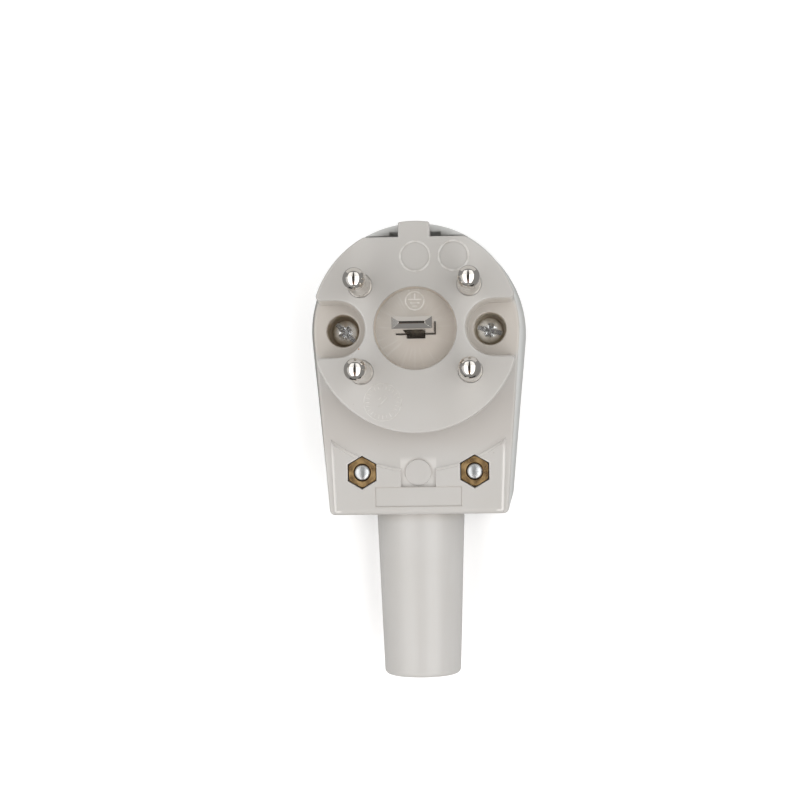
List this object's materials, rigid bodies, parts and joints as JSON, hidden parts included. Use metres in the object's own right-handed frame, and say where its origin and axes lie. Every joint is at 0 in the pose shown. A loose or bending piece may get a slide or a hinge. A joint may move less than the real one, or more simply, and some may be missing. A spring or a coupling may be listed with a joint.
{
  "type": "angled plug",
  "caption": "Angled round-faced power plug with ball-ended contact pins, a flat earth blade in a central recess, a screwed rear cover and a tapered cable sleeve.",
  "frame": {"origin": "centre of the round front disc, dropped onto the flat back of the cover", "axes": "+Z along the contact pins, away from the back; +Y towards the key tab, so the cable leaves along -Y; +X to the right as seen from the pins"},
  "size_m": [0.0516, 0.1066, 0.053],
  "materials": {
    "housing_plastic": "smooth moulded off-white plastic",
    "cover_plastic": "smooth moulded pale grey plastic",
    "sleeve_plastic": "soft pale plastic",
    "retainer_plastic": "moulded insulating plastic",
    "nickel": "nickel-plated, polished",
    "zinc_steel": "bright zinc-plated steel",
    "brass": "plain turned brass"
  },
  "bodies": {
    "root": {"front_housing": "housing_plastic", "rear_cover": "cover_plastic", "cable_sleeve": "sleeve_plastic", "contact_retainer": "retainer_plastic", "cord_clamp": "retainer_plastic", "earth_contact": "nickel", "contact_pin_upper_left": "nickel", "terminal_screw_upper_left": "zinc_steel", "contact_pin_upper_right": "nickel", "terminal_screw_upper_right": "zinc_steel", "contact_pin_lower_left": "nickel", "terminal_screw_lower_left": "zinc_steel", "contact_pin_lower_right": "nickel", "terminal_screw_lower_right": "zinc_steel", "terminal_screw_earth": "zinc_steel", "retainer_screw_upper": "zinc_steel", "retainer_screw_lower": "zinc_steel", "clamp_screw_left": "zinc_steel", "cover_screw_left": "zinc_steel", "clamp_nut_left": "brass", "cover_insert_left": "brass", "clamp_screw_right": "zinc_steel", "cover_screw_right": "zinc_steel", "clamp_nut_right": "brass", "cover_insert_right": "brass"}
  },
  "joints": []
}
